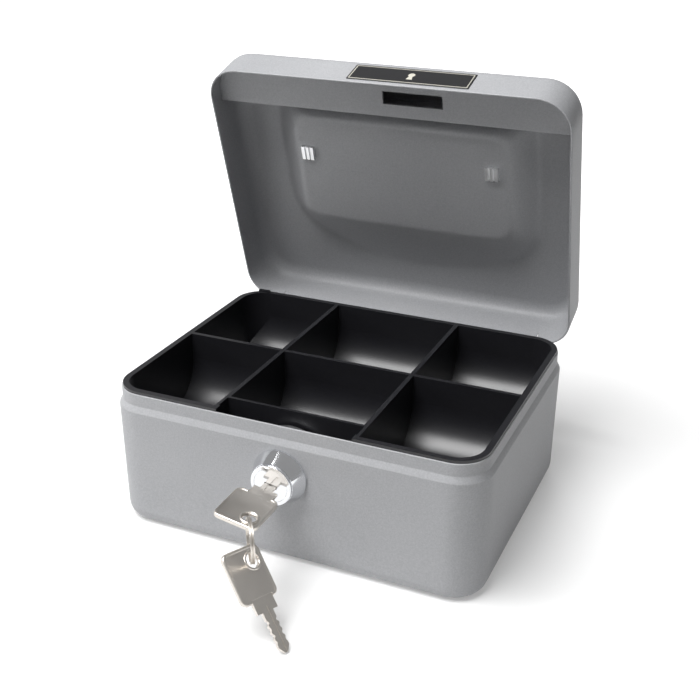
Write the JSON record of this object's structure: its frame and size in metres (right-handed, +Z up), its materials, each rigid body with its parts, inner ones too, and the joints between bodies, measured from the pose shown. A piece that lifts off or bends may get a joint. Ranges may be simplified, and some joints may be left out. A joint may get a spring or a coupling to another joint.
{
  "type": "cash box",
  "caption": "Small lockable steel cash box, lid open on a rear hinge, with a lift-out black coin tray, folding carry handle and chrome cam lock with keys.",
  "frame": {"origin": "centre of the flat underside of the base, on the surface that the box stands on", "axes": "+Z up; -Y out of the front wall with the lock; +X to the right seen from the front"},
  "size_m": [0.152, 0.1865, 0.1686],
  "materials": {
    "silver_paint": "fine-texture satin silver-grey powder coat",
    "zinc_steel": "bright zinc-plated steel",
    "black_plastic": "moulded black polystyrene, soft gloss",
    "bright_chrome": "polished chrome plate",
    "nickel_key": "satin nickel plate",
    "black_label": "printed black label, thin pale border"
  },
  "bodies": {
    "base": {"base_shell": "silver_paint", "hinge_leaf_base": "silver_paint", "hinge_pin": "zinc_steel", "lock_bezel": "bright_chrome", "lock_barrel": "bright_chrome", "lock_washer": "zinc_steel", "lock_nut": "zinc_steel"},
    "lid": {"lid_shell": "silver_paint", "lid_front_flange": "silver_paint", "hinge_leaf_lid": "silver_paint", "front_label": "black_label", "handle_clip_left": "zinc_steel", "handle_clip_right": "zinc_steel"},
    "handle": {"carry_handle": "bright_chrome"},
    "tray": {"coin_tray": "black_plastic"},
    "plug": {"lock_plug": "bright_chrome", "lock_wafers": "zinc_steel", "lock_cam": "zinc_steel", "cam_screw": "zinc_steel"},
    "key_1": {"key_blade_1": "nickel_key", "key_bow_1": "nickel_key"},
    "ring": {"split_ring": "nickel_key"},
    "key_2": {"key_blade_2": "nickel_key", "key_bow_2": "nickel_key"}
  },
  "joints": [
    {"name": "lid_hinge", "type": "hinge", "parent": "base", "child": "lid", "pos_m": [0, 0.0603, 0.0504], "axis": [1, 0, 0], "range_deg": [-26.6, 73.4]},
    {"name": "handle_swing", "type": "hinge", "parent": "lid", "child": "handle", "pos_m": [0, 0.05461, 0.12864], "axis": [1, 0, 0], "range_deg": [0, 90]},
    {"name": "tray_lift", "type": "slide", "parent": "base", "child": "tray", "axis": [0, 0, -1], "range_m": [-0.038, 0]},
    {"name": "plug_turn", "type": "hinge", "parent": "base", "child": "plug", "pos_m": [-0.001, -0.06, 0.0373], "axis": [0, -1, 0], "range_deg": [0, 90]},
    {"name": "key_slide", "type": "slide", "parent": "plug", "child": "key_1", "axis": [0, 1, 0], "range_m": [-0.022, 0]},
    {"name": "ring_swing", "type": "hinge", "parent": "key_1", "child": "ring", "pos_m": [0.00125, -0.08658, 0.0369], "axis": [-0.8192, -0.5736, 0], "range_deg": [0, 18]},
    {"name": "key_2_swing", "type": "hinge", "parent": "ring", "child": "key_2", "pos_m": [0.00541, -0.09252, 0.02335], "axis": [0.5443, -0.7773, 0.3156], "range_deg": [0, 30]}
  ]
}
